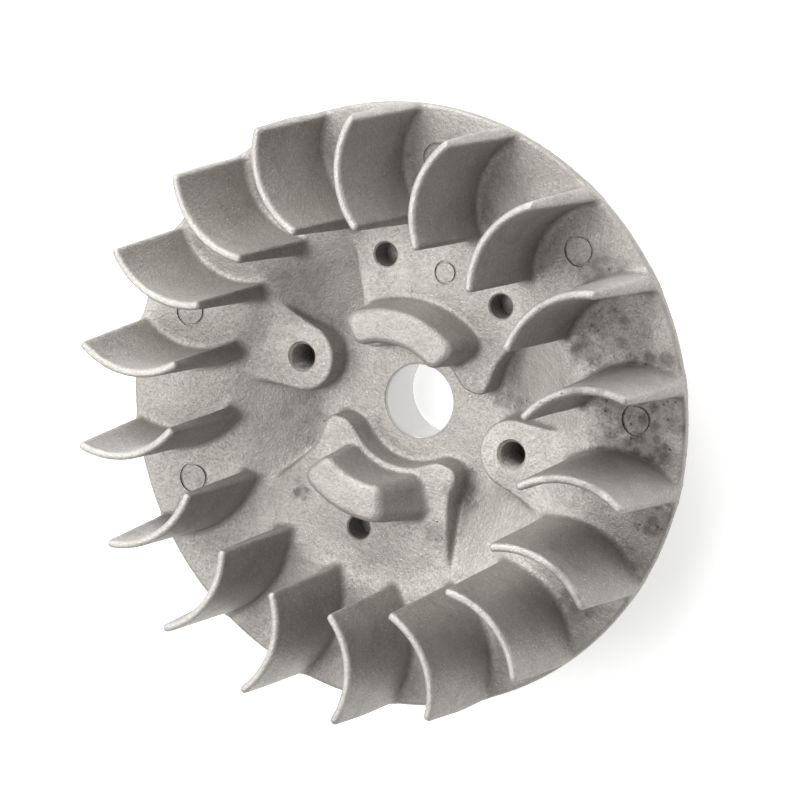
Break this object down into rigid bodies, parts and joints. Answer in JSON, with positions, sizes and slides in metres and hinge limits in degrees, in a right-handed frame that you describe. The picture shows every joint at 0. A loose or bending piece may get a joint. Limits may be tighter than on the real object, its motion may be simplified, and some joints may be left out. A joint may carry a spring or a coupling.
{
  "type": "flywheel",
  "caption": "Bare die-cast fan flywheel for a small two-stroke engine: dished disc with curved blades, tapered hub bore, pawl pivot bosses and a magnet drum behind.",
  "frame": {"origin": "on the crankshaft axis, in the plane of the back face, which the part rests on", "axes": "+Z along the crankshaft axis towards the fan blades; the two starter-pawl pivots lie on X; +Y towards the magnets"},
  "size_m": [0.1, 0.1, 0.0425],
  "materials": {
    "cast_aluminium": "as die-cast, fine satin grain",
    "pole_steel": "stamped and ground edges",
    "rivet_steel": "zinc plated",
    "magnet": "dark cast",
    "counterweight_steel": "sawn"
  },
  "bodies": {
    "root": {"casting_counterweight_housing": "cast_aluminium", "casting_disc": "cast_aluminium", "casting_drum_wall_left": "cast_aluminium", "casting_drum_wall_right": "cast_aluminium", "casting_magnet_housing": "cast_aluminium", "counterweight": "counterweight_steel", "fan_blade_01": "cast_aluminium", "fan_blade_02": "cast_aluminium", "fan_blade_03": "cast_aluminium", "fan_blade_04": "cast_aluminium", "fan_blade_05": "cast_aluminium", "fan_blade_06": "cast_aluminium", "fan_blade_07": "cast_aluminium", "fan_blade_08": "cast_aluminium", "fan_blade_09": "cast_aluminium", "fan_blade_10": "cast_aluminium", "fan_blade_11": "cast_aluminium", "fan_blade_12": "cast_aluminium", "fan_blade_13": "cast_aluminium", "fan_blade_14": "cast_aluminium", "fan_blade_15": "cast_aluminium", "fan_blade_16": "cast_aluminium", "fan_blade_17": "cast_aluminium", "fan_blade_18": "cast_aluminium", "pawl_guard_counterweight_side": "cast_aluminium", "pawl_guard_magnet_side": "cast_aluminium", "permanent_magnet": "magnet", "pole_lamination_left_01": "pole_steel", "pole_lamination_left_02": "pole_steel", "pole_lamination_left_03": "pole_steel", "pole_lamination_left_04": "pole_steel", "pole_lamination_left_05": "pole_steel", "pole_lamination_left_06": "pole_steel", "pole_lamination_left_07": "pole_steel", "pole_lamination_left_08": "pole_steel", "pole_lamination_left_09": "pole_steel", "pole_lamination_left_10": "pole_steel", "pole_lamination_left_11": "pole_steel", "pole_lamination_left_12": "pole_steel", "pole_lamination_right_01": "pole_steel", "pole_lamination_right_02": "pole_steel", "pole_lamination_right_03": "pole_steel", "pole_lamination_right_04": "pole_steel", "pole_lamination_right_05": "pole_steel", "pole_lamination_right_06": "pole_steel", "pole_lamination_right_07": "pole_steel", "pole_lamination_right_08": "pole_steel", "pole_lamination_right_09": "pole_steel", "pole_lamination_right_10": "pole_steel", "pole_lamination_right_11": "pole_steel", "pole_lamination_right_12": "pole_steel", "pole_rivets": "rivet_steel"}
  },
  "joints": []
}
